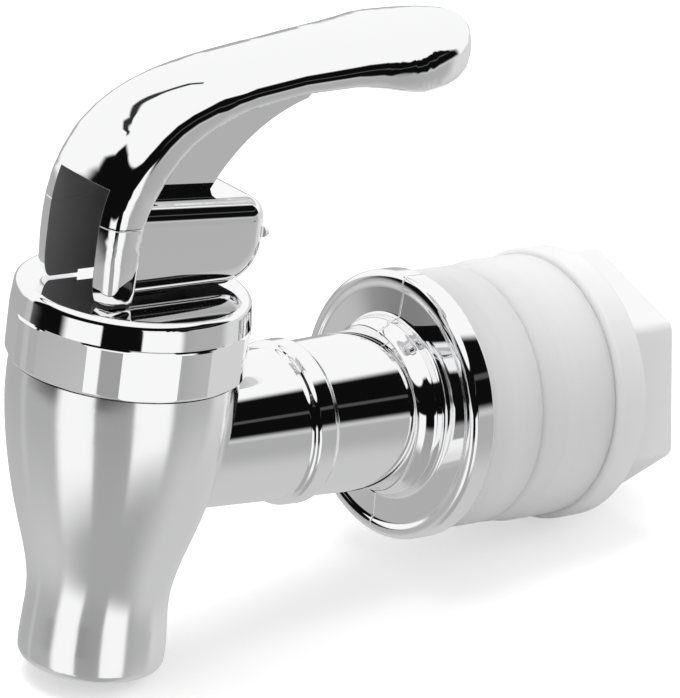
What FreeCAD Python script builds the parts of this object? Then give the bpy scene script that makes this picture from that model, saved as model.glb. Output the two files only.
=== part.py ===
import FreeCAD, Part
import math
import os

# A lever tap for a drinks container. Sizes are in millimetres.
# +X runs along the shank, away from the spout. +Z runs up the spout's own axis.
# The origin lies on the shank's axis, at the flange's back face.

os.makedirs("parts", exist_ok=True)
Vector = FreeCAD.Vector

# --- Chromed moulding: a vase-shaped spout with a level pipe, a flange and a threaded shank ---
SPOUT_REACH = 50.0          # flange's back face to the spout's axis
SPOUT_DROP = 30.4           # pipe axis to the spout's mouth
SHOULDER_HEIGHT = 11.8      # pipe axis to the shoulder under the collar
SHOULDER_RADIUS = 15.3
BELLY_RADIUS = 14.5         # at the height of the pipe's axis
WAIST_RADIUS = 9.6          # narrowest part of the spout
WAIST_DEPTH = 20.6          # pipe axis to the waist
MOUTH_RADIUS = 9.9          # widest part of the flared mouth
MOUTH_FLARE_DEPTH = 27.2    # pipe axis to the widest part of the mouth
MOUTH_TUCK = 0.1            # how far the lip draws in below its widest part
MOUTH_EDGE = 1.3            # rounding of the mouth's outer edge
SPOUT_WALL = 2.1
NECK_HEIGHT = 6.4           # screwed neck that stands above the shoulder
NECK_RADIUS = 13.4
NECK_WALL = 2.0
VALVE_SEAT_DEPTH = 7.4      # pipe axis to the valve seat
VALVE_SEAT_RADIUS = 5.6     # hole that the seat cup closes
SEAT_LIP_HEIGHT = 0.9
SEAT_LIP_WIDTH = 1.1

PIPE_RADIUS_SPOUT = 9.5     # where the pipe's taper would meet the spout's axis
PIPE_RADIUS_BOSS = 11.2
PASSAGE_RADIUS = 5.4        # straight bore through the shank and pipe
RING_PLACE = 21.2           # flange's back face to the ring's near edge
RING_WIDTH = 3.2
RING_HEIGHT = 0.6
FLANGE_RADIUS = 18.8
FLANGE_THICKNESS = 3.7
FLANGE_EDGE = 1.1
FLANGE_RIM = 2.0            # raised rim round the flange's front face
FLANGE_RIM_HEIGHT = 0.3
BOSS_RADIUS = 12.5
BOSS_LENGTH = 1.6
BOSS_EDGE = 0.8
SHANK_RADIUS = 8.0          # crest of the thread
SHANK_LENGTH = 42.0
SHANK_PILOT_RADIUS = 7.0    # plain end that starts the nut
SHANK_PILOT_LENGTH = 4.0
SHANK_CHAMFER = 1.0

# --- Collar: the chromed nut that holds the valve in ---
COLLAR_RADIUS = 16.0
COLLAR_HEIGHT = 10.7
COLLAR_SEAM_HEIGHT = 6.8    # from the collar's lower edge to its moulded seam
COLLAR_SEAM_DEPTH = 0.25
COLLAR_DRAFT = 0.4          # how far the wall above the seam leans in
COLLAR_CROWN_EDGE = 1.1
COLLAR_FOOT_EDGE = 0.5
COLLAR_FLATS = 8
COLLAR_FLAT_WIDTH = 28.0    # degrees of the band that each flat takes
COLLAR_TURN = 20.0          # degrees: how far round the collar is screwed home
COLLAR_GAP = 0.3            # shoulder to the collar's lower edge

# --- Seat cup: silicone valve, clamped at its rim and plugging the seat ---
CUP_RIM_THICKNESS = 1.5
CUP_RIM_INSET = 0.25        # neck's outside to the rim's edge
CUP_WALL = 1.3
CUP_SIDE_GAP = 0.6          # cup to the neck's bore
CUP_PLUG_RADIUS = 7.2
CUP_PLUG_HEIGHT = 7.0
CUP_BELL_HEIGHT = 9.0       # straight part of the bell below the rim
CUP_SOCKET_FLOOR = 1.9

# --- Valve stem ---
STEM_RADIUS = 2.6
STEM_BULB_RADIUS = 3.6
STEM_BULB_HEIGHT = 2.6
TONGUE_THICKNESS = 7.2      # across the fork
TONGUE_LENGTH = 5.4
TRUNNION_RADIUS = 1.45
TRUNNION_LENGTH = 1.2
PIVOT_ABOVE_COLLAR = 5.8    # trunnion axis above the collar's top face

# --- Lever: one shell with a forked front, a boxed heel and an arched handle ---
LEVER_GAP = 0.3             # heel and arms to the collar's top face
ARM_WIDTH = 17.2            # across both arms
ARM_FRONT = 11.1            # spout axis to the arms' front face
ARM_BACK = 5.2              # spout axis to the arms' rear face
FORK_WIDTH = 10.8
FORK_TOP = 15.3             # arms' lower end to the top of the front slot
HEEL_WIDTH = 13.6
HEEL_LENGTH = 16.3          # spout axis to the heel's rear face
HEEL_HEIGHT = 13.1          # at the front of the heel
HEEL_SLOPE = 1.2            # how far the heel's top falls to the rear
HEEL_CORNER = 6.2           # rounded corner that the lever rocks on
HEEL_EDGE = 3.0
HEEL_ROOF = 1.5
FORK_LIP = 1.8              # thickness of the hood over the top of the front slot
WEB_THICKNESS = 2.6
WEB_FOOT = 10.2             # spout axis to the web's rear edge on the heel's roof
WEB_HEAD = 31.0             # spout axis to the web's end under the handle
WEB_ARC_RADIUS = 25.0       # hollow rear edge of the web
WEB_ARC_DROP = 13.5         # heel's roof to that arc's centre
HANDLE_CROWN = 30.6         # collar's top face to the handle's upper side
HANDLE_REACH = 48.7         # spout axis to the handle's tip
HANDLE_WIDTH = 16.0
PAD_RISE = 3.2              # handle's upper side to the thumb pad's top
PAD_WIDTH = 21.0
PAD_LENGTH = 10.5           # rounded end of the thumb pad
PAD_THICKNESS = 8.1
PAD_DISH = 0.7              # hollow of the thumb pad
FOOT_TUCK = 1.2             # rounding of the arms' lower ends
PIVOT_BOSS_RADIUS = 2.6
SECTION_POINTS = 24         # control points round each section of the handle
SECTION_WIDEST = 0.1        # a section's widest place: this share of its height, times its squareness
UNDERSIDE_SQUARENESS = 5.0

# --- Washers and nut on the shank ---
OUTER_WASHER_RADIUS = 18.1
OUTER_WASHER_LENGTH = 9.2
INNER_WASHER_RADIUS = 18.5
INNER_WASHER_LENGTH = 12.6
WASHER_NOSE_LENGTH = 4.2    # slimmer half of each washer
WASHER_STEP = 0.35
WASHER_EDGE = 0.8
NUT_COLLAR_RADIUS = 19.3
NUT_COLLAR_LENGTH = 5.0
NUT_HEX_RADIUS = 18.4       # centre to corner
NUT_LENGTH = 12.8
NUT_TURN = 18.0             # degrees that a corner stands from upright
NUT_EDGE = 0.7

# --- Clearances ---
BORE_CLEARANCE = 0.06       # nut and washers round the shank, trunnions in the lever
STEM_CLEARANCE = 0.3        # stem through the collar
FACE_CLEARANCE = 0.3        # washers and nut, face to face
THREAD_CLEARANCE = 0.1      # collar round the neck
SOCKET_CLEARANCE = 0.1      # stem in the seat cup
SAME_PLACE = 1e-6           # two places closer than this are one

# --- Places that follow from the sizes above ---
AXIS_X = -SPOUT_REACH
COLLAR_FOOT = SHOULDER_HEIGHT + COLLAR_GAP
COLLAR_TOP = COLLAR_FOOT + COLLAR_HEIGHT
NECK_TOP = SHOULDER_HEIGHT + NECK_HEIGHT
NECK_BORE = NECK_RADIUS - NECK_WALL
CUP_RIM_TOP = NECK_TOP + CUP_RIM_THICKNESS
PIVOT_HEIGHT = COLLAR_TOP + PIVOT_ABOVE_COLLAR
LEVER_FOOT = COLLAR_TOP + LEVER_GAP
HEEL_TOP = LEVER_FOOT + HEEL_HEIGHT
CROWN_TOP = COLLAR_TOP + HANDLE_CROWN
PLUG_FOOT = -VALVE_SEAT_DEPTH + SEAT_LIP_HEIGHT
BOSS_FRONT = -FLANGE_THICKNESS - BOSS_LENGTH
OUTER_WASHER_START = 0.0
INNER_WASHER_START = OUTER_WASHER_START + OUTER_WASHER_LENGTH + FACE_CLEARANCE
NUT_START = INNER_WASHER_START + INNER_WASHER_LENGTH + FACE_CLEARANCE


def upright_turning(points):
    """Solid of revolution about the spout's axis. Each point is (radius, height)."""
    corners = [Vector(AXIS_X + radius, 0, height) for radius, height in points]
    face = Part.Face(Part.makePolygon(corners + corners[:1]))
    return face.revolve(Vector(AXIS_X, 0, 0), Vector(0, 0, 1), 360)


def level_turning(points):
    """Solid of revolution about the shank's axis. Each point is (place along X, radius)."""
    corners = [Vector(place, 0, radius) for place, radius in points]
    face = Part.Face(Part.makePolygon(corners + corners[:1]))
    return face.revolve(Vector(0, 0, 0), Vector(1, 0, 0), 360)


def upright_rod(radius, low, high):
    return Part.makeCylinder(radius, high - low, Vector(AXIS_X, 0, low))


def level_rod(radius, start, end):
    return Part.makeCylinder(radius, end - start, Vector(start, 0, 0), Vector(1, 0, 0))


def side_plate(points, width):
    """A plate across Y whose side view joins points given as (distance from spout axis, height)."""
    corners = [Vector(AXIS_X + place, -width / 2, height) for place, height in points]
    face = Part.Face(Part.makePolygon(corners + corners[:1]))
    return face.extrude(Vector(0, width, 0))


def round_edges_where(solid, radius, chosen):
    return solid.makeFillet(radius, [edge for edge in solid.Edges if chosen(edge)])


def is_circle(edge):
    return isinstance(edge.Curve, Part.Circle)


def circle_around(centre, radius):
    """Test for a circular edge of this radius about this centre."""
    def test(edge):
        if not is_circle(edge):
            return False
        return edge.Curve.Center.isEqual(centre, SAME_PLACE) and abs(edge.Curve.Radius - radius) < SAME_PLACE
    return test


def circle_at_x(place, radius):
    return circle_around(Vector(place, 0, 0), radius)


def circle_at_z(height, radius):
    return circle_around(Vector(AXIS_X, 0, height), radius)


def has_middle(point):
    def test(edge):
        return edge.CenterOfMass.isEqual(point, SAME_PLACE)
    return test


def spout_outside():
    """The vase: a smooth curve from the shoulder over belly and waist to the flared mouth."""
    curve = Part.BSplineCurve()
    curve.interpolate([
        Vector(AXIS_X + SHOULDER_RADIUS, 0, SHOULDER_HEIGHT),
        Vector(AXIS_X + BELLY_RADIUS, 0, 0),
        Vector(AXIS_X + (BELLY_RADIUS + WAIST_RADIUS) / 2, 0, -WAIST_DEPTH / 2),
        Vector(AXIS_X + WAIST_RADIUS, 0, -WAIST_DEPTH),
        Vector(AXIS_X + MOUTH_RADIUS, 0, -MOUTH_FLARE_DEPTH),
        Vector(AXIS_X + MOUTH_RADIUS - MOUTH_TUCK, 0, -SPOUT_DROP),
    ])
    top = Vector(AXIS_X, 0, SHOULDER_HEIGHT)
    foot = Vector(AXIS_X, 0, -SPOUT_DROP)
    wire = Part.Wire([
        curve.toShape(),
        Part.makeLine(Vector(AXIS_X + MOUTH_RADIUS - MOUTH_TUCK, 0, -SPOUT_DROP), foot),
        Part.makeLine(foot, top),
        Part.makeLine(top, Vector(AXIS_X + SHOULDER_RADIUS, 0, SHOULDER_HEIGHT)),
    ])
    vase = Part.Face(wire).revolve(Vector(AXIS_X, 0, 0), Vector(0, 0, 1), 360)
    return round_edges_where(vase, MOUTH_EDGE, circle_at_z(-SPOUT_DROP, MOUTH_RADIUS - MOUTH_TUCK))


def passage():
    return level_rod(PASSAGE_RADIUS, AXIS_X, SHANK_LENGTH)


def spout_body():
    """Upright part of the chromed moulding: the vase with its neck, valve chamber and seat."""
    neck = upright_rod(NECK_RADIUS, 0, NECK_TOP)
    chamber = upright_rod(NECK_BORE, -VALVE_SEAT_DEPTH, NECK_TOP)
    seat_lip = upright_rod(VALVE_SEAT_RADIUS + SEAT_LIP_WIDTH, -VALVE_SEAT_DEPTH, PLUG_FOOT)
    spout_bore = upright_turning([
        (0, -SPOUT_DROP),
        (MOUTH_RADIUS - SPOUT_WALL, -SPOUT_DROP),
        (WAIST_RADIUS - SPOUT_WALL, -WAIST_DEPTH),
        (VALVE_SEAT_RADIUS, -VALVE_SEAT_DEPTH - SPOUT_WALL),
        (VALVE_SEAT_RADIUS, 0),
        (0, 0),
    ])
    body = spout_outside().fuse(neck).cut(chamber).fuse(seat_lip)
    return body.cut(spout_bore).cut(passage()).removeSplitter()


def level_pipe():
    """Tapered pipe of the same moulding, from the vase's side to the boss, with its raised ring."""
    pipe = level_turning([
        (AXIS_X, 0),
        (AXIS_X, PIPE_RADIUS_SPOUT),
        (BOSS_FRONT, PIPE_RADIUS_BOSS),
        (BOSS_FRONT, 0),
    ])
    ring_start = -RING_PLACE - RING_WIDTH
    ring_share = (ring_start - AXIS_X) / (BOSS_FRONT - AXIS_X)
    pipe_radius = PIPE_RADIUS_SPOUT + (PIPE_RADIUS_BOSS - PIPE_RADIUS_SPOUT) * ring_share
    ring = level_rod(pipe_radius + RING_HEIGHT, ring_start, -RING_PLACE)
    ring = round_edges_where(ring, RING_HEIGHT / 2, is_circle)
    return pipe.fuse(ring).cut(spout_outside()).cut(passage()).removeSplitter()


def flanged_shank():
    """Rear part of the same moulding: boss, flange and threaded shank."""
    boss = level_rod(BOSS_RADIUS, BOSS_FRONT, 0)
    boss = round_edges_where(boss, BOSS_EDGE, circle_at_x(BOSS_FRONT, BOSS_RADIUS))
    flange = level_rod(FLANGE_RADIUS, -FLANGE_THICKNESS, 0)
    flange = round_edges_where(flange, FLANGE_EDGE, circle_at_x(-FLANGE_THICKNESS, FLANGE_RADIUS))
    face = level_rod(FLANGE_RADIUS - FLANGE_RIM, -FLANGE_THICKNESS, FLANGE_RIM_HEIGHT - FLANGE_THICKNESS)
    flange = flange.cut(face)
    shank = level_rod(SHANK_RADIUS, -FLANGE_THICKNESS, SHANK_LENGTH - SHANK_PILOT_LENGTH)
    pilot = level_rod(SHANK_PILOT_RADIUS, 0, SHANK_LENGTH)
    pilot_end = circle_at_x(SHANK_LENGTH, SHANK_PILOT_RADIUS)
    pilot = pilot.makeChamfer(SHANK_CHAMFER, [edge for edge in pilot.Edges if pilot_end(edge)])
    return flange.multiFuse([boss, shank, pilot]).cut(passage()).removeSplitter()


def collar():
    """Flat-topped cap whose wall leans in above a seam groove, over a band of alternate flats."""
    seam = COLLAR_FOOT + COLLAR_SEAM_HEIGHT
    top_radius = COLLAR_RADIUS - COLLAR_DRAFT
    cap = upright_turning([
        (0, COLLAR_FOOT),
        (COLLAR_RADIUS, COLLAR_FOOT),
        (COLLAR_RADIUS, seam),
        (top_radius, COLLAR_TOP),
        (0, COLLAR_TOP),
    ])
    cap = round_edges_where(cap, COLLAR_CROWN_EDGE, circle_at_z(COLLAR_TOP, top_radius))
    cap = round_edges_where(cap, COLLAR_FOOT_EDGE, circle_at_z(COLLAR_FOOT, COLLAR_RADIUS))
    groove = upright_turning([
        (COLLAR_RADIUS - COLLAR_SEAM_DEPTH, seam),
        (COLLAR_RADIUS + COLLAR_SEAM_DEPTH, seam + 2 * COLLAR_SEAM_DEPTH),
        (COLLAR_RADIUS + COLLAR_SEAM_DEPTH, seam - 2 * COLLAR_SEAM_DEPTH),
    ])
    cap = cap.cut(groove)
    flat_distance = COLLAR_RADIUS * math.cos(math.radians(COLLAR_FLAT_WIDTH / 2))
    for index in range(COLLAR_FLATS):
        block = Part.makeBox(COLLAR_RADIUS, 2 * COLLAR_RADIUS, COLLAR_SEAM_HEIGHT)
        block.translate(Vector(flat_distance, -COLLAR_RADIUS, COLLAR_FOOT))
        block.rotate(Vector(0, 0, 0), Vector(0, 0, 1), COLLAR_TURN + index * 360 / COLLAR_FLATS)
        block.translate(Vector(AXIS_X, 0, 0))
        cap = cap.cut(block)
    threaded_bore = upright_rod(NECK_RADIUS + THREAD_CLEARANCE, COLLAR_FOOT, CUP_RIM_TOP)
    stem_hole = upright_rod(STEM_RADIUS + STEM_CLEARANCE, CUP_RIM_TOP, COLLAR_TOP)
    return cap.cut(threaded_bore).cut(stem_hole)


def seat_cup():
    """Silicone bell: a clamped rim, a thin flexing wall and a solid plug with the stem's socket."""
    bell = NECK_BORE - CUP_SIDE_GAP
    rim = NECK_RADIUS - CUP_RIM_INSET
    bell_low = NECK_TOP - CUP_BELL_HEIGHT
    plug_top = PLUG_FOOT + CUP_PLUG_HEIGHT
    stem_bore = STEM_RADIUS + SOCKET_CLEARANCE
    bulb_bore = STEM_BULB_RADIUS + SOCKET_CLEARANCE
    bulb_low = PLUG_FOOT + CUP_SOCKET_FLOOR
    bulb_high = bulb_low + STEM_BULB_HEIGHT + 2 * SOCKET_CLEARANCE
    return upright_turning([
        (0, PLUG_FOOT),
        (CUP_PLUG_RADIUS, PLUG_FOOT),
        (CUP_PLUG_RADIUS, plug_top - CUP_WALL),
        (bell, bell_low),
        (bell, NECK_TOP),
        (rim, NECK_TOP),
        (rim, CUP_RIM_TOP),
        (bell - CUP_WALL, CUP_RIM_TOP),
        (bell - CUP_WALL, bell_low),
        (CUP_PLUG_RADIUS - CUP_WALL, plug_top),
        (stem_bore, plug_top),
        (stem_bore, bulb_high),
        (bulb_bore, bulb_high),
        (bulb_bore, bulb_low),
        (0, bulb_low),
    ])


def valve_stem():
    """Rod with a bulb in the seat cup, a flat tongue in the fork and a trunnion each side."""
    bulb_low = PLUG_FOOT + CUP_SOCKET_FLOOR + SOCKET_CLEARANCE
    tongue_low = COLLAR_TOP + LEVER_GAP
    bulb = upright_rod(STEM_BULB_RADIUS, bulb_low, bulb_low + STEM_BULB_HEIGHT)
    rod = upright_rod(STEM_RADIUS, bulb_low, PIVOT_HEIGHT)
    half_length = TONGUE_LENGTH / 2
    tongue = Part.makeBox(TONGUE_LENGTH, TONGUE_THICKNESS, PIVOT_HEIGHT - tongue_low)
    tongue.translate(Vector(AXIS_X - half_length, -TONGUE_THICKNESS / 2, tongue_low))
    across = Vector(0, 1, 0)
    knuckle_start = Vector(AXIS_X, -TONGUE_THICKNESS / 2, PIVOT_HEIGHT)
    knuckle = Part.makeCylinder(half_length, TONGUE_THICKNESS, knuckle_start, across)
    trunnion_span = TONGUE_THICKNESS + 2 * TRUNNION_LENGTH
    trunnion_start = Vector(AXIS_X, -trunnion_span / 2, PIVOT_HEIGHT)
    trunnions = Part.makeCylinder(TRUNNION_RADIUS, trunnion_span, trunnion_start, across)
    return rod.multiFuse([bulb, tongue, knuckle, trunnions]).removeSplitter()


def section_ring(upper, lower, width, squareness, dish=0.0):
    """Control points round a section between an upper and a lower point of the side view."""
    widest = lower + (upper - lower) * SECTION_WIDEST * squareness
    ring = []
    for step in range(SECTION_POINTS):
        angle = 2 * math.pi * (step + 0.5) / SECTION_POINTS
        over = math.sin(angle) > 0
        power = 2 / (squareness if over else UNDERSIDE_SQUARENESS)
        across = math.copysign(abs(math.cos(angle)) ** power, math.cos(angle))
        reach = (upper - widest if over else lower - widest) * abs(math.sin(angle)) ** power
        sunk = dish * (1 - across ** 2) if over else 0
        ring.append(widest + reach + Vector(0, across * width / 2, -sunk))
    return ring


def skin_solid(rings):
    """Closed solid whose smooth skin follows rings of control points, with flat ends."""
    rows = len(rings)
    skin = Part.BSplineSurface()
    skin.buildFromPolesMultsKnots(
        rings,
        [4] + [1] * (rows - 4) + [4],
        [1] * (SECTION_POINTS + 1),
        [float(knot) for knot in range(rows - 2)],
        [float(knot) for knot in range(SECTION_POINTS + 1)],
        False, True, 3, 3)
    side = skin.toShape()
    ends = [Part.Face(Part.Wire(skin.uIso(knot).toShape())) for knot in (0, rows - 3)]
    shell = Part.Shell([side] + ends)
    shell.sewShape()
    return Part.Solid(shell)


def handle_arch():
    """The arms, hood and handle as one skin through rounded sections."""
    arch_height = CROWN_TOP - LEVER_FOOT
    pad_start = HANDLE_REACH - PAD_LENGTH
    pad_top = CROWN_TOP + PAD_RISE

    def hood(distance, share):
        return Vector(AXIS_X + distance, 0, LEVER_FOOT + share * arch_height)

    def handle(share, rise):
        return Vector(AXIS_X + WEB_FOOT + share * (pad_start - WEB_FOOT), 0, CROWN_TOP + rise)

    # Each section: its upper and lower point, its width, how square it is and its hollow.
    sections = [
        (hood(FOOT_TUCK - ARM_FRONT, 0.0), hood(-ARM_BACK, 0.0), ARM_WIDTH - 2 * FOOT_TUCK, 4.6),
        (hood(-ARM_FRONT, 0.01), hood(-ARM_BACK, 0.01), ARM_WIDTH, 4.6),
        (hood(-ARM_FRONT, 0.2), hood(-ARM_BACK, 0.2), ARM_WIDTH, 4.6),
        (hood(-ARM_FRONT, 0.383), hood(-ARM_BACK, 0.363), ARM_WIDTH, 4.4),
        (hood(-0.89 * ARM_FRONT, 0.548), hood(-0.73 * ARM_BACK, 0.465), ARM_WIDTH, 3.9),
        (hood(-0.66 * ARM_FRONT, 0.71), hood(-0.35 * ARM_BACK, 0.578), ARM_WIDTH, 3.4),
        (hood(-0.27 * ARM_FRONT, 0.845), hood(0.15 * ARM_BACK, 0.667), HANDLE_WIDTH, 3.0),
        (hood(0.23 * ARM_FRONT, 0.924), hood(0.92 * ARM_BACK, 0.756), HANDLE_WIDTH, 2.7),
        (handle(0.0, -0.6), handle(0.02, -5.1), HANDLE_WIDTH, 2.5),
        (handle(0.28, 0.5), handle(0.29, -4.0), HANDLE_WIDTH, 2.5),
        (handle(0.60, 1.6), handle(0.60, -3.4), HANDLE_WIDTH + 1.6, 2.5),
        (handle(0.80, 2.4), handle(0.80, -4.3), HANDLE_WIDTH + 3.4, 2.6, 0.5 * PAD_DISH),
        (handle(0.92, 2.9), handle(0.92, -4.9), PAD_WIDTH - 0.4, 2.8, PAD_DISH),
    ]
    for degrees, dish in ((0, 1.0), (32, 0.6), (56, 0.0), (73, 0.0), (84, 0.0)):
        angle = math.radians(degrees)
        distance = pad_start + PAD_LENGTH * math.sin(angle)
        upper = Vector(AXIS_X + distance, 0, pad_top)
        lower = Vector(AXIS_X + distance, 0, pad_top - PAD_THICKNESS * math.cos(angle) ** 0.8)
        sections.append((upper, lower, PAD_WIDTH * math.cos(angle) ** 0.7, 3.0, dish * PAD_DISH))
    return skin_solid([section_ring(*section) for section in sections])


def heel_block():
    """Boxed heel whose rounded rear corner rides on the collar."""
    front = (-ARM_FRONT - ARM_BACK) / 2
    roof_rear = HEEL_TOP - HEEL_SLOPE
    block = side_plate([
        (front, LEVER_FOOT),
        (HEEL_LENGTH, LEVER_FOOT),
        (HEEL_LENGTH, roof_rear),
        (-ARM_BACK, HEEL_TOP),
        (front, HEEL_TOP),
    ], HEEL_WIDTH)
    rocking_corner = Vector(AXIS_X + HEEL_LENGTH, 0, LEVER_FOOT)
    block = round_edges_where(block, HEEL_CORNER, has_middle(rocking_corner))
    block = round_edges_where(block, HEEL_EDGE, has_middle(Vector(AXIS_X + HEEL_LENGTH, 0, roof_rear)))

    def along_roof(edge):
        middle = edge.CenterOfMass
        beside = abs(abs(middle.y) - HEEL_WIDTH / 2) < SAME_PLACE
        return beside and middle.z > roof_rear - HEEL_EDGE and middle.x > AXIS_X - ARM_BACK

    return round_edges_where(block, HEEL_EDGE, along_roof)


def web_plate():
    """Thin rib between the heel's roof and the underside of the arch, with a hollow rear edge."""
    roof_inside = HEEL_TOP - HEEL_SLOPE - HEEL_ROOF / 2
    plate = side_plate([
        (0, roof_inside),
        (WEB_FOOT + HEEL_ROOF, roof_inside),
        (WEB_HEAD, CROWN_TOP),
        (HANDLE_WIDTH / 4, CROWN_TOP - PAD_RISE),
    ], WEB_THICKNESS)
    half_chord = math.sqrt(WEB_ARC_RADIUS ** 2 - WEB_ARC_DROP ** 2)
    side = Vector(AXIS_X + WEB_FOOT + half_chord, -WEB_THICKNESS, HEEL_TOP - WEB_ARC_DROP)
    hollow = Part.makeCylinder(WEB_ARC_RADIUS, 2 * WEB_THICKNESS, side, Vector(0, 1, 0))
    return plate.cut(hollow)


def lever():
    slot_foot = LEVER_FOOT - LEVER_GAP
    slot_front = -2 * ARM_FRONT
    slot_rear = HEEL_LENGTH - 2 * HEEL_ROOF
    slot = side_plate([
        (slot_front, slot_foot),
        (slot_front, LEVER_FOOT + FORK_TOP),
        (-ARM_FRONT + FORK_LIP, LEVER_FOOT + FORK_TOP),
        (0, HEEL_TOP - HEEL_ROOF),
        (slot_rear, HEEL_TOP - HEEL_SLOPE - HEEL_ROOF),
        (slot_rear, slot_foot),
    ], FORK_WIDTH)
    shell = handle_arch().multiFuse([heel_block(), web_plate()]).cut(slot)
    boss_inner = TONGUE_THICKNESS / 2 + LEVER_GAP
    boss_outer = (FORK_WIDTH + HEEL_WIDTH) / 4
    hole_end = TONGUE_THICKNESS / 2 + TRUNNION_LENGTH + LEVER_GAP
    for side in (-1, 1):
        across = Vector(0, side, 0)
        inner = Vector(AXIS_X, side * boss_inner, PIVOT_HEIGHT)
        boss = Part.makeCylinder(PIVOT_BOSS_RADIUS, boss_outer - boss_inner, inner, across)
        hole = Part.makeCylinder(TRUNNION_RADIUS + BORE_CLEARANCE, hole_end - boss_inner, inner, across)
        shell = shell.fuse(boss).cut(hole)
    return shell.removeSplitter()


def washer(start, length, radius):
    """Silicone ring whose front half, towards the spout, is a little slimmer."""
    bore = SHANK_RADIUS + BORE_CLEARANCE
    slim = radius - WASHER_STEP
    step = start + WASHER_NOSE_LENGTH
    end = start + length
    ring = level_turning([
        (start, bore),
        (start, slim),
        (step, slim),
        (step, radius),
        (end, radius),
        (end, bore),
    ])
    ring = round_edges_where(ring, WASHER_EDGE, circle_at_x(start, slim))
    return round_edges_where(ring, WASHER_EDGE, circle_at_x(end, radius))


def wall_nut():
    """Round collar and a hexagon, bored for the shank's thread."""
    corners = []
    for index in range(6):
        angle = math.radians(NUT_TURN + index * 60)
        across = NUT_HEX_RADIUS * math.sin(angle)
        corners.append(Vector(NUT_START, across, NUT_HEX_RADIUS * math.cos(angle)))
    hexagon = Part.Face(Part.makePolygon(corners + corners[:1])).extrude(Vector(NUT_LENGTH, 0, 0))

    def runs_along_shank(edge):
        return abs(edge.tangentAt(edge.FirstParameter).x) > abs(edge.tangentAt(edge.FirstParameter).y)

    hexagon = round_edges_where(hexagon, NUT_EDGE, runs_along_shank)
    collar_end = NUT_START + NUT_COLLAR_LENGTH
    ring = level_rod(NUT_COLLAR_RADIUS, NUT_START, collar_end)
    ring = round_edges_where(ring, NUT_EDGE, is_circle)
    bore = level_rod(SHANK_RADIUS + BORE_CLEARANCE, NUT_START, NUT_START + NUT_LENGTH)
    return hexagon.fuse(ring).cut(bore)


def outer_washer():
    return washer(OUTER_WASHER_START, OUTER_WASHER_LENGTH, OUTER_WASHER_RADIUS)


def inner_washer():
    return washer(INNER_WASHER_START, INNER_WASHER_LENGTH, INNER_WASHER_RADIUS)


PIECES = {
    "spout_body": spout_body,
    "level_pipe": level_pipe,
    "flanged_shank": flanged_shank,
    "collar": collar,
    "seat_cup": seat_cup,
    "valve_stem": valve_stem,
    "lever": lever,
    "outer_washer": outer_washer,
    "inner_washer": inner_washer,
    "wall_nut": wall_nut,
}

for name, make in PIECES.items():
    piece = make()
    piece.exportStep(f"parts/{name}.step")
    print(name, len(piece.Solids), round(piece.Volume), piece.isValid())
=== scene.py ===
import math

import bmesh
import bpy
from mathutils import Matrix, Vector


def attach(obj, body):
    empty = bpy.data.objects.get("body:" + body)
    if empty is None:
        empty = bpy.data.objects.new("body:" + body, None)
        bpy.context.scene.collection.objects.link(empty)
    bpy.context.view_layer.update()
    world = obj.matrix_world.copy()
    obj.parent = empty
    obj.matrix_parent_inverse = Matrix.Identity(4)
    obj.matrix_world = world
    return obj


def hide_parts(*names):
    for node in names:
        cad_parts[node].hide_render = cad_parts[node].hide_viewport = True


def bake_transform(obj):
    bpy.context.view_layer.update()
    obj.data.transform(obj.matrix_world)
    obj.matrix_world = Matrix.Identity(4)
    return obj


bpy.ops.wm.read_factory_settings(use_empty=True)
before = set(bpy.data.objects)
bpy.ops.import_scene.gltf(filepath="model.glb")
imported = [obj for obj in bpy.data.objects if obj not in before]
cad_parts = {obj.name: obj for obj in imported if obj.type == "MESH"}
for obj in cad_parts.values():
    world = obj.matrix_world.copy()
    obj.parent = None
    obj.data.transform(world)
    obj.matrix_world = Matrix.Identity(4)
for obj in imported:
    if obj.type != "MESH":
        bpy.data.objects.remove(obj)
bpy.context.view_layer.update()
scene = bpy.context.scene
mm = 0.001


# Spout body: the upright, vase-shaped part of the tap's one big moulding. It is injection
# moulded in ABS and chrome plated. Its plate is laid over a softer polish than the other
# chromed parts have, so what it reflects runs soft at the edges.
plate_colour = (0.93, 0.93, 0.935, 1)
duller, brighter = 1.3, 0.7                # how far the polish strays from its mean


def chrome_plate(name, roughness, ripple):
    """Bright plating whose polish varies a little, over a moulding with a faint ripple."""
    plate = bpy.data.materials.new(name)
    plate.use_nodes = True
    tree = plate.node_tree
    shader = tree.nodes["Principled BSDF"]
    shader.inputs["Base Color"].default_value = plate_colour
    shader.inputs["Metallic"].default_value = 1.0
    place = tree.nodes.new("ShaderNodeTexCoord")
    polish = tree.nodes.new("ShaderNodeTexNoise")
    polish.inputs["Scale"].default_value = 260
    polish.inputs["Detail"].default_value = 5
    tree.links.new(place.outputs["Object"], polish.inputs["Vector"])
    spread = tree.nodes.new("ShaderNodeMapRange")
    spread.name = "polish"
    spread.inputs["To Min"].default_value = roughness * brighter
    spread.inputs["To Max"].default_value = roughness * duller
    tree.links.new(polish.outputs["Fac"], spread.inputs["Value"])
    tree.links.new(spread.outputs["Result"], shader.inputs["Roughness"])
    swell = tree.nodes.new("ShaderNodeTexNoise")
    swell.inputs["Scale"].default_value = 90
    swell.inputs["Detail"].default_value = 1
    tree.links.new(place.outputs["Object"], swell.inputs["Vector"])
    bump = tree.nodes.new("ShaderNodeBump")
    bump.name = "ripple"
    bump.inputs["Distance"].default_value = ripple
    tree.links.new(swell.outputs["Fac"], bump.inputs["Height"])
    tree.links.new(bump.outputs["Normal"], shader.inputs["Normal"])
    return plate


def dress(node, finish):
    """Gives a CAD node that is shown as it is its finish."""
    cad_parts[node].data.materials.clear()
    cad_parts[node].data.materials.append(finish)


soft_chrome = chrome_plate("soft_chrome", roughness=0.13, ripple=0.004 * mm)
dress("spout_body", soft_chrome)


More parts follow.
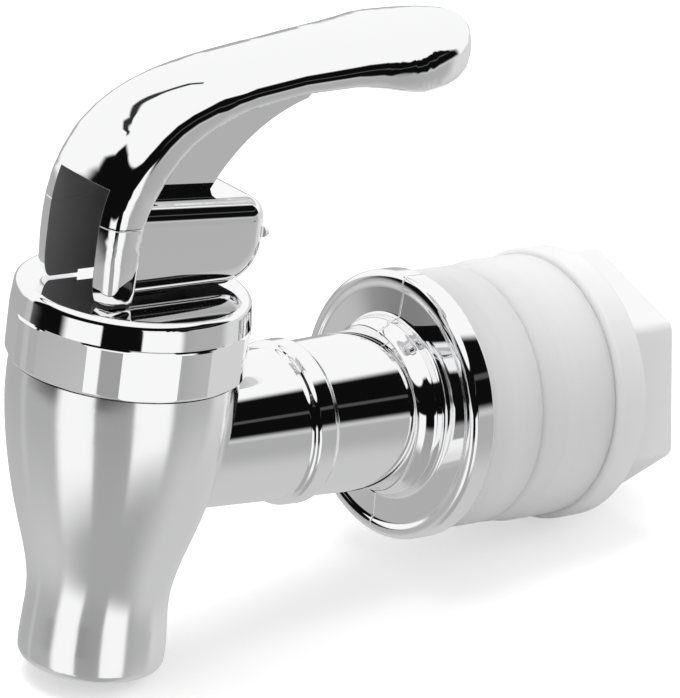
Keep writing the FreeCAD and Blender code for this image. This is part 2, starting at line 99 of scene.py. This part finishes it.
# Pipe, flange and threaded shank: the level part of the same moulding. A raised ring runs round
# the pipe, a beaded boss leads into the flange with its raised rim, and the two halves of the
# mould leave a fine parting line down the flange. The shank carries a coarse screw thread.
body_axis = -50.0
pipe_end = -39.0
wall_radius, wall_flare = 13.0, 0.17       # the body's wall at the pipe's axis, and its growth per mm upward
same_place = 0.001                         # points nearer than this are one
cut_reach = 0.0001                         # a point this near to a cut lies on it
edge_angle = math.radians(35)              # a steeper edge is shown sharp
pipe_corners = [             # place along the shank, radius, size of the rounding, in mm
    (0.0, 8.6, 0), (0.0, 18.8, 0.3), (-3.7, 18.8, 0.9), (-3.8, 17.2, 0.3), (-3.4, 16.7, 0.3),
    (-3.65, 12.6, 0.5), (-4.6, 12.5, 0.35), (-5.2, 12.4, 0.35), (-6.5, 11.15, 0.9),
    (-20.7, 10.61, 0.4), (-21.2, 11.35, 0.4), (-24.2, 11.25, 0.4), (-24.7, 10.46, 0.4),
    (pipe_end, 9.92, 0), (pipe_end, 5.35, 0), (42.0, 5.35, 0.2), (42.0, 6.0, 0.2),
    (41.0, 7.0, 0.2), (38.0, 7.0, 0),
]
thread_root, thread_crest, thread_pitch = 7.1, 8.0, 2.5
thread_length = 38.0


def turned(corners, closed=False, around=192):
    """Turns a rounded outline, given as (place, radius, rounding), round the shank's axis."""
    outline = bmesh.new()
    points = [outline.verts.new((place, 0, radius)) for place, radius, rounding in corners]
    for first, second in zip(points, points[1:]):
        outline.edges.new((first, second))
    if closed:
        outline.edges.new((points[-1], points[0]))
    for point, (place, radius, rounding) in zip(points, corners):
        if rounding:
            bmesh.ops.bevel(outline, geom=[point], offset=rounding, affect="VERTICES",
                            segments=7, profile=0.5, material=-1)
    bmesh.ops.spin(outline, geom=outline.verts[:] + outline.edges[:], cent=(0, 0, 0), axis=(1, 0, 0),
                   angle=math.tau, steps=around, use_merge=True)
    return outline


def screw_skin(start, end, root, crest, pitch, around=64):
    """One pitch of a thread, swept along its helix and cut off flat at both ends."""
    skin = bmesh.new()
    profile = ((0, root), (0.2, root), (0.5, crest), (0.7, crest), (1.0, root))     # share of a pitch, radius
    points = [skin.verts.new((start - pitch * (1 - share), 0, radius)) for share, radius in profile]
    for first, second in zip(points, points[1:]):
        skin.edges.new((first, second))
    turns = math.ceil((end - start) / pitch) + 2
    bmesh.ops.spin(skin, geom=skin.verts[:] + skin.edges[:], cent=(0, 0, 0), axis=(1, 0, 0),
                   dvec=(pitch / around, 0, 0), angle=math.tau * turns, steps=around * turns)
    bmesh.ops.remove_doubles(skin, verts=skin.verts, dist=same_place)
    bmesh.ops.bisect_plane(skin, geom=skin.verts[:] + skin.edges[:] + skin.faces[:], dist=cut_reach,
                           plane_co=(start, 0, 0), plane_no=(1, 0, 0), clear_inner=True)
    bmesh.ops.bisect_plane(skin, geom=skin.verts[:] + skin.edges[:] + skin.faces[:], dist=cut_reach,
                           plane_co=(end, 0, 0), plane_no=(1, 0, 0), clear_outer=True)
    return skin


def join_skin(shape, skin, ends):
    """Brings a thread or a prism into a turned shape and closes the ring left open at each end."""
    carrier = bpy.data.meshes.new("skin")
    skin.to_mesh(carrier)
    skin.free()
    shape.from_mesh(carrier)
    bpy.data.meshes.remove(carrier)
    for place in ends:
        open_edges = [edge for edge in shape.edges if edge.is_boundary
                      and all(abs(vert.co.x - place) < 0.01 for vert in edge.verts)]
        bmesh.ops.triangle_fill(shape, edges=open_edges, normal=(1, 0, 0), use_beauty=True)


def finished(name, shape, finish, body, stands_for):
    """Makes a shape in millimetres a piece that stands for CAD nodes.

    It rides on a body, unless it has none because it bends between two.
    """
    bmesh.ops.recalc_face_normals(shape, faces=shape.faces)
    bmesh.ops.scale(shape, vec=(mm, mm, mm), verts=shape.verts)
    for face in shape.faces:
        face.smooth = True
    for edge in shape.edges:
        edge.smooth = edge.calc_face_angle(0) < edge_angle
    mesh = bpy.data.meshes.new(name)
    shape.to_mesh(mesh)
    shape.free()
    mesh.materials.append(finish)
    piece = bpy.data.objects.new(name, mesh)
    scene.collection.objects.link(piece)
    if body:
        even = piece.modifiers.new("even_shading", "WEIGHTED_NORMAL")
        even.keep_sharp = True
        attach(piece, body)
    if stands_for:
        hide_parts(*stands_for)
    return piece


def add_ridge(plate, axis, place, half_width, height, first_limit, second_limit):
    """Adds a fine moulded line across one axis, kept between two limits along X. In mm."""
    tree = plate.node_tree
    shader = tree.nodes["Principled BSDF"]
    spot = tree.nodes.new("ShaderNodeTexCoord")
    parts = tree.nodes.new("ShaderNodeSeparateXYZ")
    tree.links.new(spot.outputs["Object"], parts.inputs[0])
    away = tree.nodes.new("ShaderNodeMath")
    away.operation = "SUBTRACT"
    away.inputs[1].default_value = place * mm
    tree.links.new(parts.outputs[axis], away.inputs[0])
    distance = tree.nodes.new("ShaderNodeMath")
    distance.operation = "ABSOLUTE"
    tree.links.new(away.outputs[0], distance.inputs[0])
    crest = tree.nodes.new("ShaderNodeMapRange")
    crest.interpolation_type = "SMOOTHSTEP"
    crest.inputs["From Max"].default_value = half_width * mm
    crest.inputs["To Min"].default_value = 1
    crest.inputs["To Max"].default_value = 0
    tree.links.new(distance.outputs[0], crest.inputs["Value"])
    after = tree.nodes.new("ShaderNodeMath")
    after.operation = "GREATER_THAN"
    after.inputs[1].default_value = first_limit * mm
    tree.links.new(parts.outputs["X"], after.inputs[0])
    before = tree.nodes.new("ShaderNodeMath")
    before.operation = "LESS_THAN"
    before.inputs[1].default_value = second_limit * mm
    tree.links.new(parts.outputs["X"], before.inputs[0])
    within = tree.nodes.new("ShaderNodeMath")
    within.operation = "MULTIPLY"
    tree.links.new(after.outputs[0], within.inputs[0])
    tree.links.new(before.outputs[0], within.inputs[1])
    kept = tree.nodes.new("ShaderNodeMath")
    kept.operation = "MULTIPLY"
    tree.links.new(crest.outputs["Result"], kept.inputs[0])
    tree.links.new(within.outputs[0], kept.inputs[1])
    ridge = tree.nodes.new("ShaderNodeBump")
    ridge.inputs["Distance"].default_value = height * mm
    tree.links.new(kept.outputs[0], ridge.inputs["Height"])
    tree.links.new(tree.nodes["ripple"].outputs["Normal"], ridge.inputs["Normal"])
    tree.links.new(ridge.outputs["Normal"], shader.inputs["Normal"])


tail = turned(pipe_corners)
thread = screw_skin(0.0, thread_length, thread_root, thread_crest, thread_pitch)
join_skin(tail, thread, (0.0, thread_length))
for vert in tail.verts:      # the pipe's hidden end follows the body's wall
    if vert.co.x < pipe_end + 0.1:
        wall = wall_radius + wall_flare * vert.co.z
        vert.co.x = body_axis + math.sqrt(wall ** 2 - vert.co.y ** 2)
pipe_chrome = chrome_plate("pipe_chrome", roughness=0.03, ripple=0.002 * mm)
add_ridge(pipe_chrome, "Y", place=0.0, half_width=0.22, height=0.06, first_limit=-7.2, second_limit=0.0)
finished("pipe_and_shank", tail, pipe_chrome, "tap_body", ["level_pipe", "flanged_shank"])


# Seat cup: valve plug, spring and top seal in one, moulded whole in soft white silicone. Its rim
# is clamped between the collar and the body's neck, and its bell gives way when the plug lifts.
frost_spread = 0.08
marks_across = 60                          # scale of the marks across the piece, per metre


def moulded(name, colour, roughness, softness, depth, cloud, streak):
    """Silicone or plastic with a little light inside and faint moulding marks in rings."""
    stuff = bpy.data.materials.new(name)
    stuff.use_nodes = True
    tree = stuff.node_tree
    shader = tree.nodes["Principled BSDF"]
    shader.inputs["Subsurface Weight"].default_value = softness
    shader.inputs["Subsurface Radius"].default_value = (1, 1, 1)
    shader.inputs["Subsurface Scale"].default_value = depth * mm
    place = tree.nodes.new("ShaderNodeTexCoord")
    rings = tree.nodes.new("ShaderNodeMapping")
    rings.inputs["Scale"].default_value = (streak, marks_across, marks_across)
    tree.links.new(place.outputs["Object"], rings.inputs["Vector"])
    marks = tree.nodes.new("ShaderNodeTexNoise")
    marks.inputs["Scale"].default_value = 1
    marks.inputs["Detail"].default_value = 3
    tree.links.new(rings.outputs["Vector"], marks.inputs["Vector"])
    shade = tree.nodes.new("ShaderNodeMix")
    shade.data_type = "RGBA"
    shade.inputs["A"].default_value = (*[channel * (1 - cloud) for channel in colour], 1)
    shade.inputs["B"].default_value = (*[min(1.0, channel * (1 + cloud)) for channel in colour], 1)
    tree.links.new(marks.outputs["Fac"], shade.inputs["Factor"])
    tree.links.new(shade.outputs["Result"], shader.inputs["Base Color"])
    grain = tree.nodes.new("ShaderNodeTexNoise")
    grain.inputs["Scale"].default_value = 2200
    tree.links.new(place.outputs["Object"], grain.inputs["Vector"])
    frost = tree.nodes.new("ShaderNodeMapRange")
    frost.inputs["To Min"].default_value = roughness - frost_spread
    frost.inputs["To Max"].default_value = roughness + frost_spread
    tree.links.new(grain.outputs["Fac"], frost.inputs["Value"])
    tree.links.new(frost.outputs["Result"], shader.inputs["Roughness"])
    bump = tree.nodes.new("ShaderNodeBump")
    bump.inputs["Distance"].default_value = 0.01 * mm
    tree.links.new(marks.outputs["Fac"], bump.inputs["Height"])
    tree.links.new(bump.outputs["Normal"], shader.inputs["Normal"])
    return stuff


cup_corners = [              # height, radius, rounding
    (-6.5, 0, 0), (-6.5, 7.2, 0.6), (-0.8, 7.2, 0.8), (9.2, 10.8, 1.0), (18.2, 10.8, 0.3),
    (18.2, 13.15, 0.3), (19.7, 13.15, 0.3), (19.7, 9.5, 0.3), (9.2, 9.5, 1.0), (0.5, 5.9, 0.5),
    (0.5, 2.7, 0.2), (-1.8, 2.7, 0), (-1.8, 3.7, 0), (-4.6, 3.7, 0), (-4.6, 0, 0),
]
bending_heights = range(2, 17)             # rings of points that let the wall between them bend
cup = turned(cup_corners, around=96)
bmesh.ops.remove_doubles(cup, verts=cup.verts, dist=same_place)
for height in bending_heights:
    bmesh.ops.bisect_plane(cup, geom=cup.verts[:] + cup.edges[:] + cup.faces[:], dist=cut_reach,
                           plane_co=(height, 0, 0), plane_no=(1, 0, 0))
bmesh.ops.rotate(cup, cent=(0, 0, 0), matrix=Matrix.Rotation(math.radians(-90), 3, "Y"), verts=cup.verts)
bmesh.ops.translate(cup, vec=(body_axis, 0, 0), verts=cup.verts)
cup_silicone = moulded("cup_silicone", (0.86, 0.86, 0.85), roughness=0.55, softness=1.0, depth=2.0,
                       cloud=0.03, streak=300)
bell = finished("seat_cup_bell", cup, cup_silicone, None, ["seat_cup"])
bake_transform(bell)


# Valve stem: the dark plastic rod that lifts the plug, moulded whole. Its head is snapped into the
# cup's foot and its two trunnions into the lever, and only its tongue can be seen at rest.
dress("valve_stem", moulded("stem_plastic", (0.10, 0.10, 0.10), roughness=0.35, softness=0.0, depth=1.0,
                            cloud=0.1, streak=300))


# Collar: the screwed cap that clamps the cup's rim on the body's neck. It is a chrome plated
# moulding with a fine seam round it and a band of shallow flats below the seam for the fingers.
dress("collar", chrome_plate("collar_chrome", roughness=0.03, ripple=0.002 * mm))


# Lever: one chrome plated shell with a forked front that hangs on the rod's two trunnions, a
# boxed heel that rocks on the collar, a thin web and an arched handle with a dished thumb pad.
# The inside of the fork is painted dark and dull, as painted shade in that recess.
fork_half_width = 5.45
fork_rear = -36.5
fork_top = 38.45
hood_slope, hood_height = 0.398, 34.85     # fork's roof ahead of the rod: rise per mm, height at the rod
roof_slope = 0.09                          # the same behind the rod
# painted shade inside the fork: a dark grey colour, less metal and more roughness than the chrome
fork_shade_colour, fork_shade_metal, fork_shade_roughness = 0.30, 0.35, 0.5

lever_chrome = chrome_plate("lever_chrome", roughness=0.03, ripple=0.001 * mm)
add_ridge(lever_chrome, "Z", place=33.75, half_width=0.2, height=0.05, first_limit=-62.0, second_limit=-54.5)
tree = lever_chrome.node_tree


def reckon(operation, first, second=None, third=None):
    """One sum on values or sockets of the material or world that is being made."""
    node = tree.nodes.new("ShaderNodeMath")
    node.operation = operation
    for socket, value in zip(node.inputs, (first, second, third)):
        if isinstance(value, (int, float)):
            socket.default_value = value
        elif value is not None:
            tree.links.new(value, socket)
    return node.outputs[0]


spot = tree.nodes.new("ShaderNodeTexCoord")
parts = tree.nodes.new("ShaderNodeSeparateXYZ")
tree.links.new(spot.outputs["Object"], parts.inputs[0])
behind_rod = reckon("SUBTRACT", parts.outputs["X"], body_axis * mm)
hood_line = reckon("MULTIPLY_ADD", behind_rod, -hood_slope, hood_height * mm)
roof_line = reckon("MULTIPLY_ADD", behind_rod, -roof_slope, hood_height * mm)
fork_line = reckon("MINIMUM", reckon("MAXIMUM", hood_line, roof_line), fork_top * mm)
between_arms = reckon("LESS_THAN", reckon("ABSOLUTE", parts.outputs["Y"]), fork_half_width * mm)
under_roof = reckon("LESS_THAN", parts.outputs["Z"], fork_line)
ahead_of_rear = reckon("LESS_THAN", parts.outputs["X"], fork_rear * mm)
inside = reckon("MULTIPLY", reckon("MULTIPLY", between_arms, under_roof), ahead_of_rear)
shader = tree.nodes["Principled BSDF"]
# Between the arms and under the roof the chrome gives way to the painted shade colour, with less metal and
# more roughness.
shade = tree.nodes.new("ShaderNodeMix")
shade.data_type = "RGBA"
shade.inputs["A"].default_value = shader.inputs["Base Color"].default_value
shade.inputs["B"].default_value = (fork_shade_colour, fork_shade_colour, fork_shade_colour, 1)
tree.links.new(inside, shade.inputs["Factor"])
tree.links.new(shade.outputs["Result"], shader.inputs["Base Color"])
tree.links.new(reckon("MULTIPLY_ADD", inside, fork_shade_metal - 1, 1.0), shader.inputs["Metallic"])
polished = tree.nodes["polish"].outputs["Result"]
tree.links.new(reckon("MULTIPLY_ADD", inside, fork_shade_roughness, polished), shader.inputs["Roughness"])
dress("lever", lever_chrome)

# Gate mark: the nub that is left where the lever's moulding was broken from its runner, on the
# rear wall of the heel. It is plated over with the lever.
gate_place = Vector((-33.75, -5.6, 30.3))
gate_radius, gate_height = 0.8, 0.45
gate = bmesh.new()
bmesh.ops.create_cone(gate, cap_ends=True, segments=32, radius1=gate_radius, radius2=0.7 * gate_radius,
                      depth=2 * gate_height)
rim = [edge for edge in gate.edges if all(vert.co.z > 0 for vert in edge.verts)]
bmesh.ops.bevel(gate, geom=rim, offset=0.3, affect="EDGES", segments=4, profile=0.5, material=-1)
bmesh.ops.rotate(gate, cent=(0, 0, 0), matrix=Matrix.Rotation(math.radians(90), 3, "Y"), verts=gate.verts)
bmesh.ops.translate(gate, vec=gate_place, verts=gate.verts)
finished("lever_gate_mark", gate, lever_chrome, "lever", [])


# Outer washer: a thick, milky silicone ring between the flange and the outside of the wall. It
# is moulded with a slightly slimmer nose and soft edges.
silicone = moulded("washer_silicone", (0.89, 0.89, 0.89), roughness=0.5, softness=1.0, depth=3.0,
                   cloud=0.025, streak=700)
outer_corners = [
    (0.05, 8.06, 0.3), (0.05, 17.6, 0.9), (3.7, 17.75, 0.6), (4.6, 18.1, 0.6),
    (9.45, 18.05, 0.5), (9.45, 8.06, 0.3),
]
finished("outer_washer_ring", turned(outer_corners, closed=True), silicone, "tap_body",
         ["outer_washer"])


# Inner washer: the same silicone, a little larger, between the inside of the wall and the nut.
# With no wall in place the two washers lie face to face.
inner_corners = [
    (9.5, 8.06, 0.3), (9.5, 18.1, 1.1), (13.2, 18.15, 0.6), (14.2, 18.5, 0.6),
    (22.35, 18.45, 0.5), (22.35, 8.06, 0.3),
]
finished("inner_washer_ring", turned(inner_corners, closed=True), silicone, "inner_washer",
         ["inner_washer"])


# Wall nut: a milky polypropylene moulding, a round collar that bears on the inner washer and a
# hexagon behind it, screwed on the shank by hand.
nut_start, nut_end = 22.4, 35.2
nut_collar_end = 27.4
hexagon_radius, hexagon_turn, hexagon_rounding = 18.4, 18.0, 0.9
nut_crest, nut_root = 8.06, 8.95
collar_corners = [
    (nut_start, nut_root + 0.2, 0), (nut_start, 19.3, 0.8),
    (nut_collar_end, 19.25, 0.8), (nut_collar_end, 18.6, 0),
]
nut = turned(collar_corners)
hexagon = bmesh.new()
bmesh.ops.create_circle(hexagon, cap_ends=True, segments=6, radius=hexagon_radius)
bmesh.ops.rotate(hexagon, cent=(0, 0, 0), verts=hexagon.verts,
                 matrix=Matrix.Rotation(math.radians(hexagon_turn), 3, "Z"))
bmesh.ops.bevel(hexagon, geom=hexagon.verts[:], offset=hexagon_rounding, affect="VERTICES",
                segments=5, profile=0.5, material=-1)
drawn = bmesh.ops.extrude_face_region(hexagon, geom=hexagon.faces[:])
raised = [item for item in drawn["geom"] if isinstance(item, bmesh.types.BMVert)]
foot = [face for face in hexagon.faces if not any(vert in raised for vert in face.verts)]
bmesh.ops.delete(hexagon, geom=foot, context="FACES_ONLY")
bmesh.ops.translate(hexagon, vec=(0, 0, nut_end - nut_collar_end), verts=raised)
top_edges = [edge for edge in hexagon.edges if all(vert.co.z > 1 for vert in edge.verts)]
bmesh.ops.bevel(hexagon, geom=top_edges, offset=0.6, affect="EDGES", segments=4, profile=0.5, material=-1)
top = max(hexagon.faces, key=lambda face: face.calc_center_median().z)
bmesh.ops.delete(hexagon, geom=[top], context="FACES_ONLY")
bmesh.ops.rotate(hexagon, cent=(0, 0, 0), verts=hexagon.verts,
                 matrix=Matrix.Rotation(math.radians(90), 3, "Y"))
bmesh.ops.translate(hexagon, vec=(nut_collar_end, 0, 0), verts=hexagon.verts)
join_skin(nut, hexagon, (nut_collar_end,))
join_skin(nut, screw_skin(nut_start, nut_end, nut_root, nut_crest, thread_pitch), (nut_start, nut_end))
nut_plastic = moulded("nut_plastic", (0.94, 0.94, 0.94), roughness=0.42, softness=0.6, depth=2.0,
                      cloud=0.015, streak=400)
finished("wall_nut_moulding", nut, nut_plastic, "wall_nut", ["wall_nut"])


# Table: white paper, level with the spout's mouth and the washers' lowest edge, on which the tap
# lies a little tipped. It keeps the tap's soft shadow and shows white to the camera.
lean = math.radians(9.2)
spout_foot = Vector((-0.0401, 0, -0.0304))
paper_glow = 0.5                           # only the camera sees it
sheet = bmesh.new()
bmesh.ops.create_grid(sheet, x_segments=1, y_segments=1, size=0.5)
bmesh.ops.rotate(sheet, cent=(0, 0, 0), matrix=Matrix.Rotation(-lean, 3, "Y"), verts=sheet.verts)
bmesh.ops.translate(sheet, vec=spout_foot, verts=sheet.verts)
table_mesh = bpy.data.meshes.new("table")
sheet.to_mesh(table_mesh)
sheet.free()
table = bpy.data.objects.new("table", table_mesh)
scene.collection.objects.link(table)
table.visible_glossy = False
paper = bpy.data.materials.new("white_paper")
paper.use_nodes = True
tree = paper.node_tree
tree.nodes.clear()
out = tree.nodes.new("ShaderNodeOutputMaterial")
matt = tree.nodes.new("ShaderNodeBsdfDiffuse")
matt.inputs["Color"].default_value = (0.8, 0.8, 0.8, 1)
glow = tree.nodes.new("ShaderNodeEmission")
path = tree.nodes.new("ShaderNodeLightPath")
tree.links.new(reckon("MULTIPLY", path.outputs["Is Camera Ray"], paper_glow), glow.inputs["Strength"])
both = tree.nodes.new("ShaderNodeAddShader")
tree.links.new(matt.outputs[0], both.inputs[0])
tree.links.new(glow.outputs[0], both.inputs[1])
tree.links.new(both.outputs[0], out.inputs["Surface"])
table_mesh.materials.append(paper)


# Room: what the chrome reflects. A white ceiling and back, a grey table, a dark room behind the
# camera and two white cards that stand low on either side of it. Headings are in degrees, round
# from the camera to its right, and heights are degrees over the table.
camera_heading = math.radians(-127.6)
room_shade = 0.004
left_floor, floor_rise = -7.0, 8.5         # the dark room's lower edge, and its rise to the right
dome_mesh = bpy.data.meshes.new("room")
ball = bmesh.new()
bmesh.ops.create_uvsphere(ball, u_segments=64, v_segments=32, radius=2.5)
for face in ball.faces:
    face.smooth = True
ball.to_mesh(dome_mesh)
ball.free()
dome = bpy.data.objects.new("room", dome_mesh)
dome.rotation_euler = (Matrix.Rotation(-lean, 3, "Y") @ Matrix.Rotation(camera_heading, 3, "Z")).to_euler()
scene.collection.objects.link(dome)
dome.visible_camera = False
dome.visible_diffuse = False
dome.visible_transmission = False
dome.visible_shadow = False
dome.visible_volume_scatter = False

shades = bpy.data.materials.new("room")
shades.use_nodes = True
tree = shades.node_tree
tree.nodes.clear()
out = tree.nodes.new("ShaderNodeOutputMaterial")
light = tree.nodes.new("ShaderNodeEmission")
tree.links.new(light.outputs[0], out.inputs["Surface"])
place = tree.nodes.new("ShaderNodeTexCoord")
direction = tree.nodes.new("ShaderNodeVectorMath")
direction.operation = "NORMALIZE"
tree.links.new(place.outputs["Object"], direction.inputs[0])
parts = tree.nodes.new("ShaderNodeSeparateXYZ")
tree.links.new(direction.outputs[0], parts.inputs[0])
heading = reckon("DEGREES", reckon("ARCTAN2", parts.outputs["Y"], parts.outputs["X"]))
height = reckon("DEGREES", reckon("ARCSINE", parts.outputs["Z"]))
aside = reckon("ABSOLUTE", heading)


def past(value, edge, softness):
    """0 where the value is under the edge, 1 over it, soft between."""
    step = tree.nodes.new("ShaderNodeMapRange")
    step.interpolation_type = "SMOOTHSTEP"
    tree.links.new(value, step.inputs["Value"])
    step.inputs["From Min"].default_value = edge - softness
    step.inputs["From Max"].default_value = edge + softness
    return step.outputs["Result"]


def blend(cover, under, over):
    """One shade laid over another, as far as the cover says."""
    mix = tree.nodes.new("ShaderNodeMix")
    mix.data_type = "FLOAT"
    tree.links.new(cover, mix.inputs["Factor"])
    for name, shade in (("A", under), ("B", over)):
        if isinstance(shade, (int, float)):
            mix.inputs[name].default_value = shade
        else:
            tree.links.new(shade, mix.inputs[name])
    return mix.outputs["Result"]


def card(under, shade, left, right, low, high):
    """A card of one shade before what is behind it. Each edge is (where, softness)."""
    sides = reckon("MULTIPLY", past(heading, *left), reckon("SUBTRACT", 1, past(heading, *right)))
    ends = reckon("MULTIPLY", past(height, *low), reckon("SUBTRACT", 1, past(height, *high)))
    return blend(reckon("MULTIPLY", sides, ends), under, shade)


view = 1.0
near_table = blend(past(aside, 50, 25), 0.36, 0.44)
near_table = card(near_table, 0.52, left=(-112, 3), right=(-103, 2), low=(-30, 5), high=(0, 5))
near_table = card(near_table, 0.72, left=(100, 8), right=(170, 20), low=(-91, 0.5), high=(0, 5))
low_table = blend(past(aside, 55, 30), 0.40, 0.60)
view = blend(past(height, -0.5, 3.5), blend(past(height, -30, 14), low_table, near_table), view)
lower_edge = reckon("MULTIPLY_ADD", past(heading, 52, 14), floor_rise, left_floor)
over_edge = past(reckon("SUBTRACT", height, lower_edge), 0, 4.5)
room_sides = reckon("MULTIPLY", past(heading, -103, 1.5), reckon("SUBTRACT", 1, past(heading, 110, 4)))
room_top = reckon("SUBTRACT", 1, past(height, 43.5, 2.0))
view = blend(reckon("MULTIPLY", reckon("MULTIPLY", room_sides, room_top), over_edge), view, room_shade)
view = card(view, 0.08, left=(50, 6), right=(100, 6), low=(20, 0.8), high=(23, 0.8))
view = card(view, 1.0, left=(-62, 5), right=(-25, 1), low=(-36, 9), high=(8, 1.5))
view = card(view, 1.0, left=(12, 1), right=(50, 4), low=(-36, 9), high=(8, 1.5))
view = card(view, 0.03, left=(-181, 0.5), right=(-111, 2), low=(42.3, 0.5), high=(44.8, 0.5))
tree.links.new(view, light.inputs["Strength"])
dome_mesh.materials.append(shades)

least_light, more_when_seen = 0.55, 0.45   # what lights the pieces, and what camera and mirrors see besides
world = bpy.data.worlds.new("studio")
scene.world = world
world.use_nodes = True
tree = world.node_tree
back = tree.nodes["Background"]
back.inputs["Color"].default_value = (1, 1, 1, 1)
path = tree.nodes.new("ShaderNodeLightPath")
seen = reckon("MAXIMUM", path.outputs["Is Camera Ray"], path.outputs["Is Glossy Ray"])
seen = reckon("MAXIMUM", seen, path.outputs["Is Transmission Ray"])
tree.links.new(reckon("MULTIPLY_ADD", seen, more_when_seen, least_light), back.inputs["Strength"])

lamp_data = bpy.data.lights.new("overhead", "AREA")
lamp_data.shape = "DISK"
lamp_data.size = 0.8
lamp_data.energy = 6
lamp = bpy.data.objects.new("overhead", lamp_data)
lamp.location = (-0.15, 0.15, 1.0)
lamp.rotation_euler = (-lamp.location).to_track_quat("-Z", "Y").to_euler()
lamp.visible_glossy = False
scene.collection.objects.link(lamp)


# Camera: in front of the spout and to its right, a little above it, level with the table.
azimuth, elevation, roll = math.radians(-40.46), math.radians(19.10), math.radians(7.61)
distance, shift_right, shift_up = 0.6615, 0.0298, 0.01282
level_right = Vector((math.cos(azimuth), math.sin(azimuth), 0))
backward = Vector((math.sin(azimuth) * math.cos(elevation), -math.cos(azimuth) * math.cos(elevation),
                   math.sin(elevation)))
right = math.cos(roll) * level_right + math.sin(roll) * backward.cross(level_right)
up = backward.cross(right)
camera_data = bpy.data.cameras.new("camera")
camera_data.lens = 264.7
camera_data.sensor_width = 36
camera_data.sensor_fit = "HORIZONTAL"
camera_data.clip_start = 0.05
camera_data.clip_end = 20
camera = bpy.data.objects.new("camera", camera_data)
camera_place = Vector((-0.05, 0, 0)) + backward * distance + right * shift_right + up * shift_up
camera.matrix_world = Matrix.Translation(camera_place) @ Matrix((right, up, backward)).transposed().to_4x4()
scene.collection.objects.link(camera)
scene.camera = camera
scene.view_settings.view_transform = "Standard"
